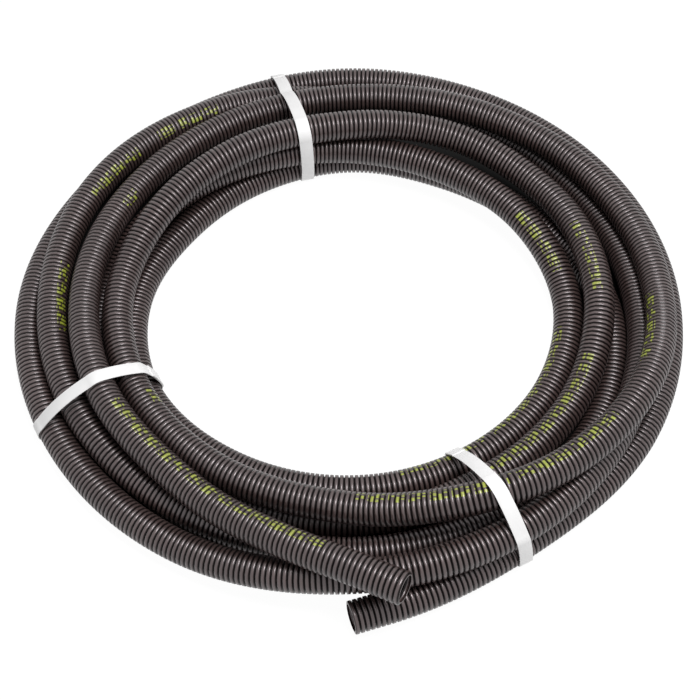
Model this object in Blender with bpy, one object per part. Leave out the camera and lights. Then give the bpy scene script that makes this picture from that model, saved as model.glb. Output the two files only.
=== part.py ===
"""Coil of ribbed vacuum hose, held together by three flat plastic straps.

Units are metres, +Z is up, and the coil lies on z = 0. It stands on the undersides of the straps,
which pass between the hose and the floor.

The hose is one unbroken tube of six turns. Its middle line goes round clockwise, seen from above,
from the free end that lies on top of the coil to the free end that lies on the floor. It is worked
out turn by turn from LANES and LEVELS, which say how the strands lie beside and over each other.
The ribs are fewer and longer than real ones, and each ring of the tube has eight sides.
"""

import math

import bmesh
import bpy
import numpy as np

# Hose
HOSE_DIAMETER = 0.0285
BORE_DIAMETER = 0.0230
WALL_THICKNESS = 0.00075
RIB_COUNT = 140
TUBE_SIDES = 8

# Coil
OUTER_LANE_RADIUS = 0.302
STRAND_GAP = 0.0007
STATION_ANGLE = 30.0
START_TRAVEL = -3.3
END_TRAVEL = 2155.0
LINE_ANGLE = 0.5

# One row for each turn, and one value for each station of it: the front, then the left, the back
# and the right. A lane counts hose diameters inwards from the outermost lane.
LANES = (
    (-0.40, 1.20, 1.65, 1.95, 2.10, 2.05, 1.80, 1.45, 0.95, 0.60, 0.40, 0.85),
    (1.90, 2.30, 2.65, 3.05, 3.75, 4.30, 4.20, 3.30, 2.65, 2.40, 2.25, 2.15),
    (2.10, 2.10, 2.05, 2.30, 3.20, 4.10, 4.35, 4.35, 3.90, 3.30, 3.20, 3.20),
    (3.15, 3.10, 3.05, 3.40, 3.95, 4.05, 3.90, 3.80, 3.15, 2.05, 1.40, 1.20),
    (1.05, 1.05, 0.85, 0.80, 0.80, 1.00, 1.10, 1.15, 1.10, 1.05, 0.60, 0.10),
    (-0.15, -0.05, 0.00, 0.00, 0.25, 0.25, 0.00, 0.05, 0.05, 0.05, 0.05, 0.10),
)
# A level counts hose diameters upwards from the strands that lie on the floor.
LEVELS = (
    (1.90, 1.30, 1.35, 1.15, 1.00, 0.95, 0.90, 1.00, 1.00, 1.25, 2.00, 2.00),
    (1.15, 1.00, 0.95, 1.00, 1.65, 2.05, 1.95, 1.45, 1.00, 1.00, 0.55, 0.50),
    (0.00, 0.00, 0.00, 0.00, 0.70, 1.05, 0.95, 0.90, 0.75, 0.20, 0.00, 0.00),
    (0.00, 0.00, 0.00, 0.00, 0.00, 0.00, 0.00, 0.00, 0.00, 0.00, 0.00, 0.00),
    (0.00, 0.10, 0.55, 0.70, 0.90, 0.70, 0.10, 0.00, 0.00, 0.35, 0.90, 1.05),
    (0.85, 0.15, 0.00, 0.00, 0.00, 0.00, 0.00, 0.00, 0.00, 0.00, 0.00, 0.00),
)
# The free ends leave the coil outwards: (lane, level) at the stations before and after the turns.
STATION_BEFORE = (-4.05, 2.40)
STATIONS_AFTER = ((-0.96, 0.00), (-2.60, 0.00))

# Straps
STRAP_WIDTH = 0.0127
STRAP_THICKNESS = 0.0008
STRAP_CLEARANCE = 0.0003
WELD_LENGTH = 0.030
WELD_STEP = 0.0008
STRAP_COLUMNS = 60
# Name, travel at which the strap crosses the coil, and the side of the coil its weld is on.
STRAPS = (
    ("strap_left", 62.6, "inner"),
    ("strap_back", 165.7, "outer"),
    ("strap_front", 331.5, "inner"),
)


def clear_scene():
    for old in list(bpy.data.objects):
        bpy.data.objects.remove(old, do_unlink=True)


def plastic(name, colour, roughness):
    material = bpy.data.materials.new(name)
    material.use_nodes = True
    shader = material.node_tree.nodes["Principled BSDF"]
    shader.inputs["Base Color"].default_value = (*colour, 1.0)
    shader.inputs["Roughness"].default_value = roughness
    return material


def add_body(name, points, faces, material):
    """One closed mesh object whose faces all look outwards."""
    mesh = bpy.data.meshes.new(name)
    mesh.from_pydata([tuple(point) for point in points], [], faces)
    shell = bmesh.new()
    shell.from_mesh(mesh)
    bmesh.ops.recalc_face_normals(shell, faces=shell.faces)
    shell.to_mesh(mesh)
    shell.free()
    mesh.materials.append(material)
    body = bpy.data.objects.new(name, mesh)
    bpy.context.scene.collection.objects.link(body)
    return body


def soft_slopes(values):
    """Slope at each station of a curve that runs smoothly through all of them."""
    steps = np.diff(values)
    middle = (steps[:-1] + steps[1:]) / 2
    return np.concatenate([steps[:1] / 2, middle, steps[-1:] / 2])


def level_slopes(values):
    """Slopes of a curve that never passes its stations, so that no strand dips into the floor."""
    steps = np.diff(values)
    both = steps[:-1] * steps[1:]
    total = np.where(both > 0, steps[:-1] + steps[1:], 1.0)
    middle = np.where(both > 0, 2 * both / total, 0.0)
    return np.concatenate([steps[:1], middle, steps[-1:]])


def curve_at(values, slopes, places):
    """Values at these places, counted in stations, of the curve with these slopes."""
    start = np.clip(np.floor(places).astype(int), 0, len(values) - 2)
    part = places - start
    rise = values[start + 1] - values[start]
    bend = 3 * rise - 2 * slopes[start] - slopes[start + 1]
    twist = slopes[start] + slopes[start + 1] - 2 * rise
    return values[start] + part * (slopes[start] + part * (bend + part * twist))


def stations(rows, before, after):
    return np.array([before, *(value for row in rows for value in row), *after])


def coil_line():
    """Middle line of the hose, about the middle of the ring, without its straight ends."""
    lanes = stations(LANES, STATION_BEFORE[0], [lane for lane, _ in STATIONS_AFTER])
    levels = stations(LEVELS, STATION_BEFORE[1], [level for _, level in STATIONS_AFTER])
    count = round((END_TRAVEL - START_TRAVEL) / LINE_ANGLE) + 1
    travel = np.linspace(START_TRAVEL, END_TRAVEL, count)
    places = travel / STATION_ANGLE + 1
    strand_step = HOSE_DIAMETER + STRAND_GAP
    radius = OUTER_LANE_RADIUS - strand_step * curve_at(lanes, soft_slopes(lanes), places)
    floor_strand = STRAP_THICKNESS + STRAP_CLEARANCE + HOSE_DIAMETER / 2
    height = floor_strand + strand_step * curve_at(levels, level_slopes(levels), places)
    angle = np.radians(270 - travel)
    return np.stack([radius * np.cos(angle), radius * np.sin(angle), height], axis=1)


def with_straight_ends(line):
    """The line with one hose diameter of straight hose added at each end."""
    first = line[0] - line[1]
    last = line[-1] - line[-2]
    before = line[0] + first / np.linalg.norm(first) * HOSE_DIAMETER
    after = line[-1] + last / np.linalg.norm(last) * HOSE_DIAMETER
    return np.concatenate([[before], line, [after]])


def lengths_along(line):
    steps = np.linalg.norm(np.diff(line, axis=0), axis=1)
    return np.concatenate([[0.0], np.cumsum(steps)])


def points_along(line, places):
    """Points of a line at these lengths from its start."""
    lengths = lengths_along(line)
    return np.stack([np.interp(places, lengths, column) for column in line.T], axis=1)


def directions(points):
    ahead = np.gradient(points, axis=0)
    return ahead / np.linalg.norm(ahead, axis=1)[:, None]


def tube_rings(centres, radii):
    """Points of the rings of a tube, ring by ring. Every ring has the same way up."""
    ahead = directions(centres)
    side = np.cross(ahead, (0.0, 0.0, 1.0))
    side /= np.linalg.norm(side, axis=1)[:, None]
    top = np.cross(side, ahead)
    turns = (np.arange(TUBE_SIDES) + 0.5) * 2 * math.pi / TUBE_SIDES
    out = np.cos(turns)[:, None] * side[:, None, :] + np.sin(turns)[:, None] * top[:, None, :]
    return (centres[:, None, :] + radii[:, None, None] * out).reshape(-1, 3)


def band_faces(first, second, count):
    """Faces that join two loops of points, whose indices start at first and at second."""
    after = [(index + 1) % count for index in range(count)]
    return [(first + i, first + after[i], second + after[i], second + i) for i in range(count)]


def hose_rings(line):
    """Centre and outside radius of each ring: a groove, then a rib, and so on to a last groove."""
    whole = lengths_along(line)[-1]
    places = np.linspace(0.0, whole, 2 * RIB_COUNT + 1)
    radii = np.full(len(places), HOSE_DIAMETER / 2)
    radii[::2] = BORE_DIAMETER / 2 + WALL_THICKNESS
    return points_along(line, places), radii


def build_hose(line, material):
    centres, radii = hose_rings(line)
    bore = np.full(len(radii), BORE_DIAMETER / 2)
    points = np.concatenate([tube_rings(centres, radii), tube_rings(centres, bore)])
    bore_start = TUBE_SIDES * len(radii)
    last_ring = TUBE_SIDES * (len(radii) - 1)
    faces = []
    for start in range(0, last_ring, TUBE_SIDES):
        inside = bore_start + start
        faces += band_faces(start, start + TUBE_SIDES, TUBE_SIDES)
        faces += band_faces(inside + TUBE_SIDES, inside, TUBE_SIDES)
    faces += band_faces(bore_start, 0, TUBE_SIDES)
    faces += band_faces(last_ring, bore_start + last_ring, TUBE_SIDES)
    return add_body("hose", points, faces, material)


def least_gap(line):
    """Least room between two strands of the hose, outside to outside."""
    centres, radii = hose_rings(line)
    between = np.linspace(0, len(radii) - 1, 8 * (len(radii) - 1) + 1)
    ring = np.arange(len(radii))
    points = np.stack([np.interp(between, ring, column) for column in centres.T], axis=1)
    radius = np.interp(between, ring, radii)
    places = lengths_along(points)
    least = math.inf
    for index in range(len(points)):
        others = places - places[index] > 4 * HOSE_DIAMETER
        if others.any():
            apart = np.linalg.norm(points[others] - points[index], axis=1)
            least = min(least, (apart - radius[others] - radius[index]).min())
    return least


def strands_under(line, ring_centre, travel):
    """Centres, as (out from the ring's middle, height), of the hose where a strap goes round it."""
    angle = math.radians(270 - travel)
    outwards = np.array([math.cos(angle), math.sin(angle), 0.0])
    across = np.array([-math.sin(angle), math.cos(angle), 0.0])
    spot = line - ring_centre
    slant = np.sqrt(1 - np.clip(directions(line) @ across, -1, 1) ** 2)
    reach = STRAP_WIDTH / 2 + slant * HOSE_DIAMETER / 2
    near = (np.abs(spot @ across) <= reach) & (spot @ outwards > 0)
    return np.stack([spot[near] @ outwards, line[near, 2]], axis=1), outwards, across


def strap_outline(strands, weld_side):
    """Inside line of a strap and the direction out of it, from the side that has no weld.

    The line's straight pieces lie on the strands' circles, and its corners just outside them.
    """
    step = 2 * math.pi / STRAP_COLUMNS
    turns = (np.arange(STRAP_COLUMNS + 1) + 0.5) * step
    towards = 1.0 if weld_side == "inner" else -1.0
    out = np.stack([towards * np.cos(turns), np.sin(turns)], axis=1) / math.cos(step / 2)
    outermost = strands[np.argmax(out @ strands.T, axis=1)]
    return outermost + out * (HOSE_DIAMETER / 2 + STRAP_CLEARANCE), out


def add_weld(inside, out):
    """The outline with columns added at the weld, and the strap's thickness at each column."""
    lengths = lengths_along(inside)
    half = len(inside) // 4
    falling = slice(half, 3 * half)
    middle = np.interp(-HOSE_DIAMETER, -inside[falling, 1], lengths[falling])
    start = middle - WELD_LENGTH / 2
    end = middle + WELD_LENGTH / 2
    new = [start, start + WELD_STEP, end - WELD_STEP, end]
    places = np.sort(np.concatenate([lengths[:-1], new]))
    inside = points_along(inside, places)
    out = np.stack([np.interp(places, lengths, column) for column in out.T], axis=1)
    doubled = (places > start + WELD_STEP / 2) & (places < end - WELD_STEP / 2)
    return inside, out, np.where(doubled, 2 * STRAP_THICKNESS, STRAP_THICKNESS)


def build_strap(name, line, ring_centre, travel, weld_side, material):
    strands, outwards, across = strands_under(line, ring_centre, travel)
    inside, out, thickness = add_weld(*strap_outline(strands, weld_side))
    outside = inside + out * thickness[:, None]
    inside[:, 1] = np.maximum(inside[:, 1], STRAP_THICKNESS)
    outside[:, 1] = np.maximum(outside[:, 1], 0.0)
    loops = []
    for outline in (inside, outside):
        for edge in (-STRAP_WIDTH / 2, STRAP_WIDTH / 2):
            flat = ring_centre + outline[:, :1] * outwards + edge * across
            flat[:, 2] = outline[:, 1]
            loops.append(flat)
    count = len(inside)
    faces = []
    for first, second in ((0, 1), (1, 3), (3, 2), (2, 0)):
        faces += band_faces(first * count, second * count, count)
    return add_body(name, np.concatenate(loops), faces, material)


def main():
    clear_scene()
    line = with_straight_ends(coil_line())
    middle = (line.min(axis=0) + line.max(axis=0)) / 2
    ring_centre = np.array([-middle[0], -middle[1], 0.0])
    line = line + ring_centre
    black = plastic("black plastic", (0.020, 0.018, 0.018), 0.42)
    white = plastic("white plastic", (0.86, 0.86, 0.86), 0.5)
    build_hose(line, black)
    for name, travel, weld_side in STRAPS:
        build_strap(name, line, ring_centre, travel, weld_side, white)
    print(f"hose length {lengths_along(line)[-1]:.3f} m")
    print(f"least gap between strands {least_gap(line) * 1000:.2f} mm")
    print(f"ring centre at {ring_centre[0] * 1000:.2f}, {ring_centre[1] * 1000:.2f} mm")


main()
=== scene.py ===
"""Looks of a coil of ribbed vacuum hose in three flat straps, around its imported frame.

The hose's middle line is worked out as in the part's source, from the same lanes and levels.
The mesh around it has every rib of the real hose, with an open bore at both ends.
"""

import math

import bpy
import numpy as np
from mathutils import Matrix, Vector


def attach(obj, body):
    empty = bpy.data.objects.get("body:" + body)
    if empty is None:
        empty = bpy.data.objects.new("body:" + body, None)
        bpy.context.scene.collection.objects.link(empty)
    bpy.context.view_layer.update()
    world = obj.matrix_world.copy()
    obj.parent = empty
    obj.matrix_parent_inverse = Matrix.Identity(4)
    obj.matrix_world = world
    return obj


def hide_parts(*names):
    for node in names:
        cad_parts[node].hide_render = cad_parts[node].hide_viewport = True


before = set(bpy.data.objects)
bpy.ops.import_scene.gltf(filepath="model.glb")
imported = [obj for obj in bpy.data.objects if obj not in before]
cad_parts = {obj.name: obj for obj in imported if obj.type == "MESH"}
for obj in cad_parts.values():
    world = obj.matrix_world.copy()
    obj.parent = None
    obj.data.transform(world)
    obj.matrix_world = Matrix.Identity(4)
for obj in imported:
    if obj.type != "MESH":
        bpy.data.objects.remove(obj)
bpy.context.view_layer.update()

# Hose, as in the part's source
HOSE_DIAMETER = 0.0285
WALL_THICKNESS = 0.00075
GROOVE_DEPTH = 0.0020
OUTER_LANE_RADIUS = 0.302
STRAND_GAP = 0.0007
STATION_ANGLE = 30.0
START_TRAVEL = -3.3
END_TRAVEL = 2155.0
LINE_ANGLE = 0.5
LANES = (
    (-4.05,),
    (-0.40, 1.20, 1.65, 1.95, 2.10, 2.05, 1.80, 1.45, 0.95, 0.60, 0.40, 0.85),
    (1.90, 2.30, 2.65, 3.05, 3.75, 4.30, 4.20, 3.30, 2.65, 2.40, 2.25, 2.15),
    (2.10, 2.10, 2.05, 2.30, 3.20, 4.10, 4.35, 4.35, 3.90, 3.30, 3.20, 3.20),
    (3.15, 3.10, 3.05, 3.40, 3.95, 4.05, 3.90, 3.80, 3.15, 2.05, 1.40, 1.20),
    (1.05, 1.05, 0.85, 0.80, 0.80, 1.00, 1.10, 1.15, 1.10, 1.05, 0.60, 0.10),
    (-0.15, -0.05, 0.00, 0.00, 0.25, 0.25, 0.00, 0.05, 0.05, 0.05, 0.05, 0.10),
    (-0.96, -2.60),
)
LEVELS = (
    (2.40,),
    (1.90, 1.30, 1.35, 1.15, 1.00, 0.95, 0.90, 1.00, 1.00, 1.25, 2.00, 2.00),
    (1.15, 1.00, 0.95, 1.00, 1.65, 2.05, 1.95, 1.45, 1.00, 1.00, 0.55, 0.50),
    (0.00, 0.00, 0.00, 0.00, 0.70, 1.05, 0.95, 0.90, 0.75, 0.20, 0.00, 0.00),
    (0.00, 0.00, 0.00, 0.00, 0.00, 0.00, 0.00, 0.00, 0.00, 0.00, 0.00, 0.00),
    (0.00, 0.10, 0.55, 0.70, 0.90, 0.70, 0.10, 0.00, 0.00, 0.35, 0.90, 1.05),
    (0.85, 0.15, 0.00, 0.00, 0.00, 0.00, 0.00, 0.00, 0.00, 0.00, 0.00, 0.00),
    (0.00, 0.00),
)

# Straps, sized as in the part's source
STRAP_WIDTH = 0.0127
STRAP_THICKNESS = 0.0008
STRAP_CLEARANCE = 0.0003
WELD_LENGTH = 0.030
WELD_STEP = 0.0008
# A free stretch of strap bends out as an arc of this radius, up to the most rise
BOW_RADIUS = 0.11
BOW_STEP = 0.004
MOST_BOW = 0.0045
# Name, travel, side of the weld, and how far the strap leans against the travel as it rises
STRAPS = (
    ("strap_left", 62.6, "inner", 0.15),
    ("strap_back", 165.7, "outer", 0.05),
    ("strap_front", 331.5, "inner", -0.15),
)

# The visual hose: every rib, as (share of the pitch, depth below the rib's top)
RIB_PITCH = 0.0045
RIB_PROFILE = ((0.00, 1.0), (0.16, 1.0), (0.28, 0.0), (0.88, 0.0))
TUBE_SIDES = 16
# Ribs that show inside at each end, and ribs to a step of the plain bore between
OPEN_RIBS = 16
PLAIN_RIBS = 4
CUT_FACE = 0.0003
ATLAS_COLUMNS = 600
ATLAS_ROWS = 16
ATLAS_MARGIN = 0.02
STRAP_COLUMNS = 180

# Printed marks: their height as a share of the way round the tube, their rows of strokes, the
# share of strokes left out, the ribs to a mark and the share of them that it fills
PRINT_HEIGHT = 0.112
PRINT_ROWS = 6
STROKES_LEFT_OUT = 0.46
RIBS_PER_MARK = 4.0
MARK_FILL = 0.86
# Each printed stretch: its first and last travel in degrees, and how far round the tube, from the
# inner side over the top, its middle starts and ends
PRINTS = (
    (4.0, 54.0, 0.20, 0.20),
    (112.0, 117.0, 0.15, 0.15),
    (276.0, 295.0, 0.10, 0.12),
    (308.0, 332.0, 0.20, 0.23),
    (334.0, 359.0, 0.25, 0.20),
    (410.0, 414.0, 0.14, 0.14),
    (613.0, 634.0, 0.19, 0.21),
    (651.0, 693.0, 0.21, 0.22),
    (962.0, 983.0, 0.17, 0.20),
    (1001.0, 1068.0, 0.12, 0.17),
    (1518.0, 1535.0, 0.12, 0.13),
    (1553.0, 1568.0, 0.14, 0.12),
    (1574.0, 1590.0, 0.14, 0.16),
)

# The floor under the strands is painted dark as shade, from a slightly shifted inner circle to an
# outer one
INNER_RADIUS = 0.203
INNER_SHIFT = 0.011
OUTER_RADIUS = 0.300
FLOOR_REACH = 6.0
FLOOR_GLOW = 0.92
GLOW_STRENGTH = 1.05

# Light
WORLD_ON_MATT = 0.33
KEY_PLACE = (0.30, -0.26, 1.65)
KEY_AIM = (0.0, 0.0, 0.0)
KEY_SIZE = 0.7
KEY_POWER = 25.5

# Camera, from the middle of the coil's ring
CAMERA_PLACE = (0.00025, -0.88931, 1.13409)
CAMERA_AIM = (0.00025, -0.04628, 0.0011)
CAMERA_LENS = 77.10
SENSOR_WIDTH = 36.0


# ---------------------------------------------------------------- the hose's line


def soft_slopes(values):
    steps = np.diff(values)
    middle = (steps[:-1] + steps[1:]) / 2
    return np.concatenate([steps[:1] / 2, middle, steps[-1:] / 2])


def level_slopes(values):
    steps = np.diff(values)
    both = steps[:-1] * steps[1:]
    total = np.where(both > 0, steps[:-1] + steps[1:], 1.0)
    middle = np.where(both > 0, 2 * both / total, 0.0)
    return np.concatenate([steps[:1], middle, steps[-1:]])


def curve_at(values, slopes, places):
    start = np.clip(np.floor(places).astype(int), 0, len(values) - 2)
    part = places - start
    rise = values[start + 1] - values[start]
    bend = 3 * rise - 2 * slopes[start] - slopes[start + 1]
    twist = slopes[start] + slopes[start + 1] - 2 * rise
    return values[start] + part * (slopes[start] + part * (bend + part * twist))


def stations(rows):
    return np.array([value for row in rows for value in row])


def coil_line():
    """Travel angles and points of the hose's middle line, about the middle of the ring."""
    lanes = stations(LANES)
    levels = stations(LEVELS)
    count = round((END_TRAVEL - START_TRAVEL) / LINE_ANGLE) + 1
    travel = np.linspace(START_TRAVEL, END_TRAVEL, count)
    places = travel / STATION_ANGLE + 1
    strand_step = HOSE_DIAMETER + STRAND_GAP
    radius = OUTER_LANE_RADIUS - strand_step * curve_at(lanes, soft_slopes(lanes), places)
    floor_strand = STRAP_THICKNESS + STRAP_CLEARANCE + HOSE_DIAMETER / 2
    height = floor_strand + strand_step * curve_at(levels, level_slopes(levels), places)
    angle = np.radians(270 - travel)
    points = np.stack([radius * np.cos(angle), radius * np.sin(angle), height], axis=1)
    return travel, points


def with_straight_ends(line):
    first = line[0] - line[1]
    last = line[-1] - line[-2]
    before = line[0] + first / np.linalg.norm(first) * HOSE_DIAMETER
    after = line[-1] + last / np.linalg.norm(last) * HOSE_DIAMETER
    return np.concatenate([[before], line, [after]])


def lengths_along(line):
    steps = np.linalg.norm(np.diff(line, axis=0), axis=1)
    return np.concatenate([[0.0], np.cumsum(steps)])


def columns_at(table, known, places):
    return np.stack([np.interp(places, known, column) for column in table.T], axis=1)


def directions(points):
    ahead = np.gradient(points, axis=0)
    return ahead / np.linalg.norm(ahead, axis=1)[:, None]


# ---------------------------------------------------------------- meshes


def frames_at(line, places):
    """Centre, side and top of the tube's rings at these lengths along the line."""
    lengths = lengths_along(line)
    centre = columns_at(line, lengths, places)
    ahead = columns_at(directions(line), lengths, places)
    ahead /= np.linalg.norm(ahead, axis=1)[:, None]
    side = np.cross(ahead, (0.0, 0.0, 1.0))
    side /= np.linalg.norm(side, axis=1)[:, None]
    return centre, side, np.cross(side, ahead)


def tube_rings(line, places, radii):
    centre, side, top = frames_at(line, places)
    turns = np.arange(TUBE_SIDES) * 2 * math.pi / TUBE_SIDES
    out = np.cos(turns)[:, None] * side[:, None, :] + np.sin(turns)[:, None] * top[:, None, :]
    return (centre[:, None, :] + radii[:, None, None] * out).reshape(-1, 3)


def quads_between(first, second, sides):
    """Faces that join rings of points, whose first indices are in first and second."""
    here = np.arange(sides)
    after = (here + 1) % sides
    corners = [first[:, None] + here, first[:, None] + after]
    corners += [second[:, None] + after, second[:, None] + here]
    return np.stack(corners, axis=2).reshape(-1, 4)


def add_mesh(name, points, quads):
    mesh = bpy.data.meshes.new(name)
    mesh.vertices.add(len(points))
    mesh.vertices.foreach_set("co", points.astype(np.float32).ravel())
    mesh.loops.add(quads.size)
    mesh.loops.foreach_set("vertex_index", quads.astype(np.int32).ravel())
    mesh.polygons.add(len(quads))
    mesh.polygons.foreach_set("loop_start", np.arange(0, quads.size, 4, dtype=np.int32))
    mesh.update(calc_edges=True)
    mesh.validate()
    mesh.shade_smooth()
    body = bpy.data.objects.new(name, mesh)
    bpy.context.scene.collection.objects.link(body)
    return body


def add_uv(mesh, name, corners):
    layer = mesh.uv_layers.new(name=name)
    layer.uv.foreach_set("vector", corners.astype(np.float32).ravel())


def hose_profile(whole):
    """Place along the hose and outside radius of each ring, and the rib pitch."""
    ribs = round(whole / RIB_PITCH)
    pitch = whole / ribs
    shares = np.array([share for share, _ in RIB_PROFILE])
    depths = np.array([depth for _, depth in RIB_PROFILE])
    places = ((np.arange(ribs)[:, None] + shares) * pitch).ravel()
    radii = np.tile(HOSE_DIAMETER / 2 - GROOVE_DEPTH * depths, ribs)
    places = np.append(places, whole)
    radii = np.append(radii, HOSE_DIAMETER / 2 - GROOVE_DEPTH)
    return places, radii, pitch


def inside_rings(places, radii):
    """Places and radii of the bore: ribbed near both ends, where it shows, and plain between."""
    steps = len(RIB_PROFILE)
    near = OPEN_RIBS * steps
    last = len(places) - 1
    plain = np.arange(near, last - near, PLAIN_RIBS * steps)
    kept = np.concatenate([np.arange(near), plain, np.arange(last - near, last + 1)])
    return places[kept], radii[kept] - WALL_THICKNESS


def hose_corners(places):
    """The two coordinates of each corner: the length along the hose, and the share of its round."""
    here = np.arange(TUBE_SIDES)
    around = np.stack([here, here + 1, here + 1, here], axis=1) / TUBE_SIDES
    along = np.stack([places[:-1], places[:-1], places[1:], places[1:]], axis=1)
    u = np.repeat(along, TUBE_SIDES, axis=0)
    v = np.tile(around, (len(places) - 1, 1))
    return np.stack([u, v], axis=2)


def atlas_corners(bands):
    """A place of its own in the unit square for every face, band after band, in long rows."""
    here = np.arange(TUBE_SIDES)
    around = np.stack([here, here + 1, here + 1, here], axis=1) / TUBE_SIDES
    around = ATLAS_MARGIN + (1 - 2 * ATLAS_MARGIN) * around
    band = np.arange(bands)
    along = (band % ATLAS_COLUMNS)[:, None] + np.array([0, 0, 1, 1])
    u = np.repeat(along / ATLAS_COLUMNS, TUBE_SIDES, axis=0)
    row = np.repeat(band // ATLAS_COLUMNS, TUBE_SIDES)[:, None]
    return np.stack([u, (row + np.tile(around, (bands, 1))) / ATLAS_ROWS], axis=2)


def build_hose(line):
    lengths = lengths_along(line)
    whole = lengths[-1]
    places, radii, pitch = hose_profile(whole)
    inner_places, inner_radii = inside_rings(places, radii)
    outside = tube_rings(line, places, radii)
    inside = tube_rings(line, inner_places, inner_radii)
    rings = len(places)
    inner_rings = len(inner_places)
    first = np.arange(rings) * TUBE_SIDES
    inner = len(outside) + np.arange(inner_rings) * TUBE_SIDES
    shell = quads_between(first[:-1], first[1:], TUBE_SIDES)
    bore = quads_between(inner[:-1], inner[1:], TUBE_SIDES)
    start_rim = quads_between(inner[:1], first[:1], TUBE_SIDES)
    end_rim = quads_between(first[-1:], inner[-1:], TUBE_SIDES)
    quads = np.concatenate([shell, bore[:, ::-1], start_rim, end_rim])
    hose = add_mesh("ribbed_hose", np.concatenate([outside, inside]), quads)
    shell_uv = hose_corners(places)
    bore_uv = hose_corners(inner_places)[:, ::-1]
    start_uv = np.repeat(shell_uv[:TUBE_SIDES, :1], 4, axis=1)
    end_uv = start_uv + np.array([whole, 0.0])
    add_uv(hose.data, "hose", np.concatenate([shell_uv, bore_uv, start_uv, end_uv]))
    add_uv(hose.data, "OFBake", atlas_corners(len(quads) // TUBE_SIDES))
    return hose, whole, pitch


# ---------------------------------------------------------------- straps


def strands_under(line, ring_centre, travel, lean):
    angle = math.radians(270 - travel)
    outwards = np.array([math.cos(angle), math.sin(angle), 0.0])
    across = np.array([-math.sin(angle), math.cos(angle), 0.0])
    spot = line - ring_centre
    slant = np.sqrt(1 - np.clip(directions(line) @ across, -1, 1) ** 2)
    reach = STRAP_WIDTH / 2 + (slant + abs(lean)) * HOSE_DIAMETER / 2
    offset = spot @ across - lean * line[:, 2]
    near = (np.abs(offset) <= reach) & (spot @ outwards > 0)
    return np.stack([spot[near] @ outwards, line[near, 2]], axis=1), outwards, across


def strap_outline(strands, weld_side):
    step = 2 * math.pi / STRAP_COLUMNS
    turns = (np.arange(STRAP_COLUMNS + 1) + 0.5) * step
    towards = 1.0 if weld_side == "inner" else -1.0
    out = np.stack([towards * np.cos(turns), np.sin(turns)], axis=1) / math.cos(step / 2)
    outermost = strands[np.argmax(out @ strands.T, axis=1)]
    return bowed(outermost + out * (HOSE_DIAMETER / 2 + STRAP_CLEARANCE), out)


def bowed(inside, out):
    """The outline with each stretch between two strands bent slightly outwards."""
    points = []
    normals = []
    for index in range(len(inside) - 1):
        span = np.linalg.norm(inside[index + 1] - inside[index])
        pieces = max(1, math.ceil(span / BOW_STEP))
        share = np.arange(pieces)[:, None] / pieces
        normal = (1 - share) * out[index] + share * out[index + 1]
        rise = np.minimum(span**2 / (8 * BOW_RADIUS), MOST_BOW) * 4 * share * (1 - share)
        points.append((1 - share) * inside[index] + share * inside[index + 1] + rise * normal)
        normals.append(normal)
    return np.concatenate([*points, inside[-1:]]), np.concatenate([*normals, out[-1:]])


def add_weld(inside, out):
    lengths = lengths_along(inside)
    quarter = len(inside) // 4
    falling = slice(quarter, 3 * quarter)
    middle = np.interp(-HOSE_DIAMETER, -inside[falling, 1], lengths[falling])
    start = middle - WELD_LENGTH / 2
    end = middle + WELD_LENGTH / 2
    new = [start, start + WELD_STEP, end - WELD_STEP, end]
    places = np.sort(np.concatenate([lengths[:-1], new]))
    inside = columns_at(inside, lengths, places)
    out = columns_at(out, lengths, places)
    doubled = (places > start + WELD_STEP / 2) & (places < end - WELD_STEP / 2)
    return inside, out, np.where(doubled, 2 * STRAP_THICKNESS, STRAP_THICKNESS)


def build_strap(name, line, ring_centre, travel, weld_side, lean):
    strands, outwards, across = strands_under(line, ring_centre, travel, lean)
    inside, out, thickness = add_weld(*strap_outline(strands, weld_side))
    outside = inside + out * thickness[:, None]
    inside[:, 1] = np.maximum(inside[:, 1], STRAP_THICKNESS)
    outside[:, 1] = np.maximum(outside[:, 1], 0.0)
    loops = []
    for outline in (inside, outside):
        for edge in (-STRAP_WIDTH / 2, STRAP_WIDTH / 2):
            sideways = edge + lean * outline[:, 1:]
            flat = ring_centre + outline[:, :1] * outwards + sideways * across
            flat[:, 2] = outline[:, 1]
            loops.append(flat)
    count = len(inside)
    quads = []
    for first, second in ((0, 1), (1, 3), (3, 2), (2, 0)):
        quads.append(quads_between(np.array([first * count]), np.array([second * count]), count))
    strap = add_mesh(name + "_band", np.concatenate(loops), np.concatenate(quads))
    edges = strap.modifiers.new("soft edges", "BEVEL")
    edges.width = STRAP_THICKNESS / 4
    edges.segments = 2
    edges.limit_method = "ANGLE"
    return strap


# ---------------------------------------------------------------- materials


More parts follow.
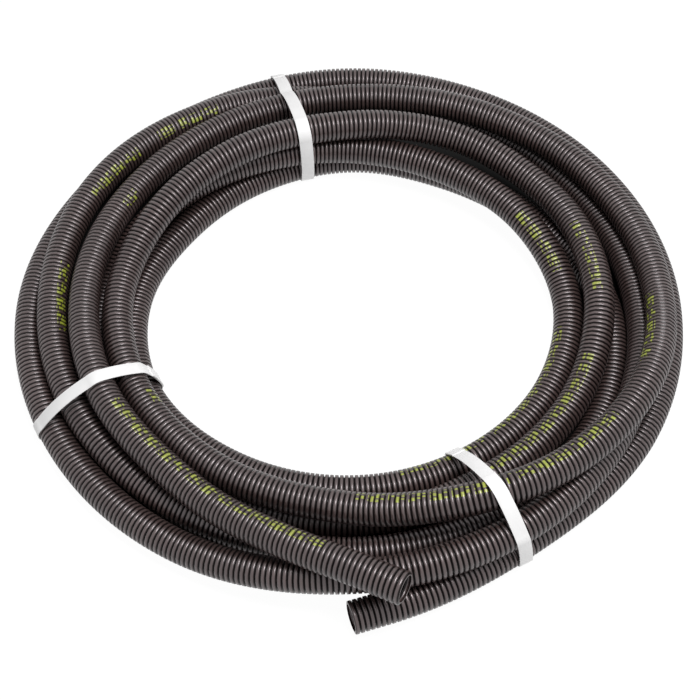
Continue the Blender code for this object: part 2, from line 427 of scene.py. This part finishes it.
class Nodes:
    """Short calls to build one material's nodes."""

    def __init__(self, name):
        self.material = bpy.data.materials.new(name)
        self.material.use_nodes = True
        self.tree = self.material.node_tree
        self.shader = self.tree.nodes["Principled BSDF"]

    def add(self, kind, **settings):
        node = self.tree.nodes.new(kind)
        for key, value in settings.items():
            setattr(node, key, value)
        return node

    def link(self, source, target):
        self.tree.links.new(source, target)

    def maths(self, operation, first, second=None, third=None):
        node = self.add("ShaderNodeMath", operation=operation)
        for socket, value in zip(node.inputs, (first, second, third)):
            if value is None:
                continue
            if isinstance(value, (int, float)):
                socket.default_value = value
            else:
                self.link(value, socket)
        return node.outputs[0]

    def noise(self, vector, scale, detail=2.0):
        node = self.add("ShaderNodeTexNoise")
        node.inputs["Scale"].default_value = scale
        node.inputs["Detail"].default_value = detail
        self.link(vector, node.inputs["Vector"])
        return node.outputs["Fac"]

    def random(self, value, seed):
        node = self.add("ShaderNodeTexWhiteNoise", noise_dimensions="2D")
        both = self.add("ShaderNodeCombineXYZ")
        self.link(value, both.inputs[0])
        both.inputs[1].default_value = seed
        self.link(both.outputs[0], node.inputs["Vector"])
        return node.outputs["Value"]

    def distance(self, place, centre):
        node = self.add("ShaderNodeVectorMath", operation="DISTANCE")
        self.link(place, node.inputs[0])
        node.inputs[1].default_value = tuple(centre)
        return node.outputs["Value"]

    def between(self, value, low, high, to_low=0.0, to_high=1.0):
        node = self.add("ShaderNodeMapRange", interpolation_type="SMOOTHSTEP")
        self.link(value, node.inputs["Value"])
        settings = (low, high, to_low, to_high)
        for key, number in zip(("From Min", "From Max", "To Min", "To Max"), settings):
            node.inputs[key].default_value = number
        return node.outputs["Result"]

    def mix(self, factor, first, second):
        node = self.add("ShaderNodeMix", data_type="RGBA")
        self.link(factor, node.inputs["Factor"])
        for socket, colour in ((node.inputs["A"], first), (node.inputs["B"], second)):
            if isinstance(colour, tuple):
                socket.default_value = (*colour, 1.0)
            else:
                self.link(colour, socket)
        return node.outputs["Result"]

    def bump(self, height, strength, distance):
        node = self.add("ShaderNodeBump")
        node.inputs["Strength"].default_value = strength
        node.inputs["Distance"].default_value = distance
        self.link(height, node.inputs["Height"])
        self.link(node.outputs["Normal"], self.shader.inputs["Normal"])


def hose_place(nodes):
    """Length along the hose in metres, and the share of the way round it."""
    place = nodes.add("ShaderNodeUVMap", uv_map="hose")
    parts = nodes.add("ShaderNodeSeparateXYZ")
    nodes.link(place.outputs["UV"], parts.inputs[0])
    return parts.outputs[0], parts.outputs[1]


def print_mask(nodes, along, around, prints, pitch):
    """1 on the lime marks: short strokes on each rib's top, each there or not by chance."""
    ribs = nodes.maths("DIVIDE", along, pitch)
    rib = nodes.maths("FLOOR", ribs)
    total = None
    for start, end, first, last in prints:
        inside = nodes.maths("COMPARE", along, (start + end) / 2, (end - start) / 2)
        slope = (last - first) / (end - start)
        middle = nodes.maths("MULTIPLY_ADD", along, slope, first - slope * start)
        offset = nodes.maths("SUBTRACT", around, middle)
        rows = nodes.maths("DIVIDE", offset, PRINT_HEIGHT / PRINT_ROWS)
        close = nodes.maths("LESS_THAN", nodes.maths("ABSOLUTE", rows), PRINT_ROWS / 2)
        row = nodes.maths("ROUND", rows)
        chance = nodes.random(nodes.maths("MULTIPLY_ADD", row, 0.37, rib), 3.0)
        here = nodes.maths("MULTIPLY", close, nodes.maths("GREATER_THAN", chance, STROKES_LEFT_OUT))
        here = nodes.maths("MULTIPLY", inside, here)
        total = here if total is None else nodes.maths("MAXIMUM", total, here)
    marks = nodes.maths("FRACT", nodes.maths("DIVIDE", ribs, RIBS_PER_MARK))
    return nodes.maths("MULTIPLY", total, nodes.maths("LESS_THAN", marks, MARK_FILL))


def hose_material(prints, whole, pitch):
    nodes = Nodes("ribbed black plastic")
    along, around = hose_place(nodes)
    place = nodes.add("ShaderNodeTexCoord").outputs["Object"]
    share = nodes.maths("FRACT", nodes.maths("DIVIDE", along, pitch))
    rising = nodes.between(share, 0.18, 0.42)
    falling = nodes.between(share, 0.74, 0.96, 1.0, 0.0)
    rib_top = nodes.maths("MULTIPLY", rising, falling)
    worn = nodes.between(nodes.noise(place, 14.0, 4.0), 0.3, 0.75)
    # Painted shade: the grooves between the ribs are coloured nearly black where shade falls, and
    # the rib tops keep the plastic's colour with a random wear tone
    painted_groove_shade = (0.004, 0.003, 0.003)
    top = nodes.mix(worn, (0.039, 0.025, 0.023), (0.060, 0.039, 0.036))
    plastic = nodes.mix(rib_top, painted_groove_shade, top)
    inked = nodes.maths("MULTIPLY", print_mask(nodes, along, around, prints, pitch), rib_top)
    rubbed = nodes.between(nodes.noise(place, 700.0), 0.3, 0.6, 0.6, 1.0)
    inked = nodes.maths("MULTIPLY", inked, rubbed)
    colour = nodes.mix(inked, plastic, (0.33, 0.38, 0.032))
    from_middle = nodes.maths("ABSOLUTE", nodes.maths("SUBTRACT", along, whole / 2))
    cut = nodes.maths("GREATER_THAN", from_middle, whole / 2 - CUT_FACE)
    colour = nodes.mix(cut, colour, (0.16, 0.14, 0.14))
    nodes.link(colour, nodes.shader.inputs["Base Color"])
    # Painted shade: the grooves' reflection is turned down almost to nothing
    gloss = nodes.between(rib_top, 0.0, 1.0, 0.05, 1.0)
    nodes.link(gloss, nodes.shader.inputs["Specular IOR Level"])
    nodes.shader.inputs["Specular Tint"].default_value = (1.0, 0.91, 0.94, 1.0)
    grain = nodes.noise(place, 900.0)
    nodes.link(nodes.between(grain, 0.2, 0.8, 0.33, 0.42), nodes.shader.inputs["Roughness"])
    nodes.shader.inputs["Coat Weight"].default_value = 0.25
    nodes.shader.inputs["Coat Roughness"].default_value = 0.25
    nodes.bump(grain, 0.15, 0.0002)
    return nodes.material


def strap_material():
    nodes = Nodes("white band")
    place = nodes.add("ShaderNodeTexCoord").outputs["Object"]
    cloudy = nodes.between(nodes.noise(place, 60.0, 3.0), 0.3, 0.7)
    colour = nodes.mix(cloudy, (0.84, 0.835, 0.835), (0.88, 0.875, 0.875))
    nodes.link(colour, nodes.shader.inputs["Base Color"])
    nodes.link(nodes.between(cloudy, 0.0, 1.0, 0.42, 0.52), nodes.shader.inputs["Roughness"])
    nodes.bump(nodes.noise(place, 1500.0), 0.1, 0.0001)
    return nodes.material


# ---------------------------------------------------------------- stage, light and camera


def build_floor(ring_centre):
    mesh = bpy.data.meshes.new("floor")
    reach = FLOOR_REACH
    corners = [(-reach, -reach, 0), (reach, -reach, 0), (reach, reach, 0), (-reach, reach, 0)]
    mesh.from_pydata(corners, [], [(0, 1, 2, 3)])
    floor = bpy.data.objects.new("floor", mesh)
    bpy.context.scene.collection.objects.link(floor)
    nodes = Nodes("white floor")
    place = nodes.add("ShaderNodeTexCoord").outputs["Object"]
    inner = nodes.distance(place, (ring_centre[0], ring_centre[1] - INNER_SHIFT, 0.0))
    outer = nodes.distance(place, ring_centre)
    # Painted shade: where the strands lie over the floor it is coloured nearly black and gets no
    # white glow
    painted_shade_under_strands = nodes.maths("GREATER_THAN", inner, INNER_RADIUS)
    painted_shade_under_strands = nodes.maths("MULTIPLY", painted_shade_under_strands, nodes.maths("LESS_THAN", outer, OUTER_RADIUS))
    colour = nodes.mix(painted_shade_under_strands, (0.9, 0.9, 0.9), (0.02, 0.02, 0.02))
    nodes.link(colour, nodes.shader.inputs["Base Color"])
    nodes.shader.inputs["Roughness"].default_value = 0.9
    nodes.shader.inputs["Specular IOR Level"].default_value = 0.0
    path = nodes.add("ShaderNodeLightPath")
    seen = nodes.maths("MAXIMUM", path.outputs["Is Camera Ray"], path.outputs["Is Glossy Ray"])
    seen = nodes.maths("MAXIMUM", seen, path.outputs["Is Transmission Ray"])
    share = nodes.maths("MULTIPLY_ADD", painted_shade_under_strands, -FLOOR_GLOW, FLOOR_GLOW)
    glow = nodes.add("ShaderNodeEmission")
    glow.inputs["Color"].default_value = (1.0, 1.0, 1.0, 1.0)
    glow.inputs["Strength"].default_value = GLOW_STRENGTH
    both = nodes.add("ShaderNodeMixShader")
    output = nodes.tree.nodes["Material Output"]
    nodes.link(nodes.maths("MULTIPLY", seen, share), both.inputs[0])
    nodes.link(nodes.shader.outputs[0], both.inputs[1])
    nodes.link(glow.outputs[0], both.inputs[2])
    nodes.link(both.outputs[0], output.inputs["Surface"])
    mesh.materials.append(nodes.material)


def build_world():
    """White to the camera and in reflections, and dimmer as a light on matt surfaces."""
    world = bpy.data.worlds.new("studio")
    world.use_nodes = True
    tree = world.node_tree
    background = tree.nodes["Background"]
    background.inputs["Color"].default_value = (1.0, 1.0, 1.0, 1.0)
    path = tree.nodes.new("ShaderNodeLightPath")
    strength = tree.nodes.new("ShaderNodeMapRange")
    strength.inputs["To Min"].default_value = 1.0
    strength.inputs["To Max"].default_value = WORLD_ON_MATT
    tree.links.new(path.outputs["Is Diffuse Ray"], strength.inputs["Value"])
    tree.links.new(strength.outputs["Result"], background.inputs["Strength"])
    bpy.context.scene.world = world


def add_key_light():
    light = bpy.data.lights.new("key", "AREA")
    light.shape = "DISK"
    light.size = KEY_SIZE
    light.energy = KEY_POWER
    lamp = bpy.data.objects.new("key", light)
    lamp.location = KEY_PLACE
    towards = Vector(KEY_AIM) - Vector(KEY_PLACE)
    lamp.rotation_euler = towards.to_track_quat("-Z", "Y").to_euler()
    bpy.context.scene.collection.objects.link(lamp)


def build_camera(ring_centre):
    camera = bpy.data.cameras.new("camera")
    camera.lens = CAMERA_LENS
    camera.sensor_width = SENSOR_WIDTH
    camera.sensor_fit = "HORIZONTAL"
    camera.clip_start = 0.05
    seat = bpy.data.objects.new("camera", camera)
    place = Vector(CAMERA_PLACE) + Vector(ring_centre)
    aim = Vector(CAMERA_AIM) + Vector(ring_centre)
    seat.location = place
    seat.rotation_euler = (aim - place).to_track_quat("-Z", "Y").to_euler()
    bpy.context.scene.collection.objects.link(seat)
    bpy.context.scene.camera = seat


# ---------------------------------------------------------------- the scene


def main():
    bpy.context.scene.view_settings.view_transform = "Standard"
    travel, line = coil_line()
    middle = with_straight_ends(line)
    middle = (middle.min(axis=0) + middle.max(axis=0)) / 2
    ring_centre = np.array([-middle[0], -middle[1], 0.0])
    line = with_straight_ends(line + ring_centre)
    lengths = lengths_along(line)

    build_camera(ring_centre)
    hose, whole, pitch = build_hose(line)
    prints = []
    for start, end, first, last in PRINTS:
        here = np.interp((start, end), travel, lengths[1:-1])
        prints.append((float(here[0]), float(here[1]), first, last))
    hose.data.materials.append(hose_material(prints, whole, pitch))
    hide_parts("hose")
    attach(hose, "root")

    band = strap_material()
    for name, place, weld_side, lean in STRAPS:
        strap = build_strap(name, line, ring_centre, place, weld_side, lean)
        strap.data.materials.append(band)
        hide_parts(name)
        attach(strap, "root")

    build_floor(ring_centre)
    build_world()
    add_key_light()


main()
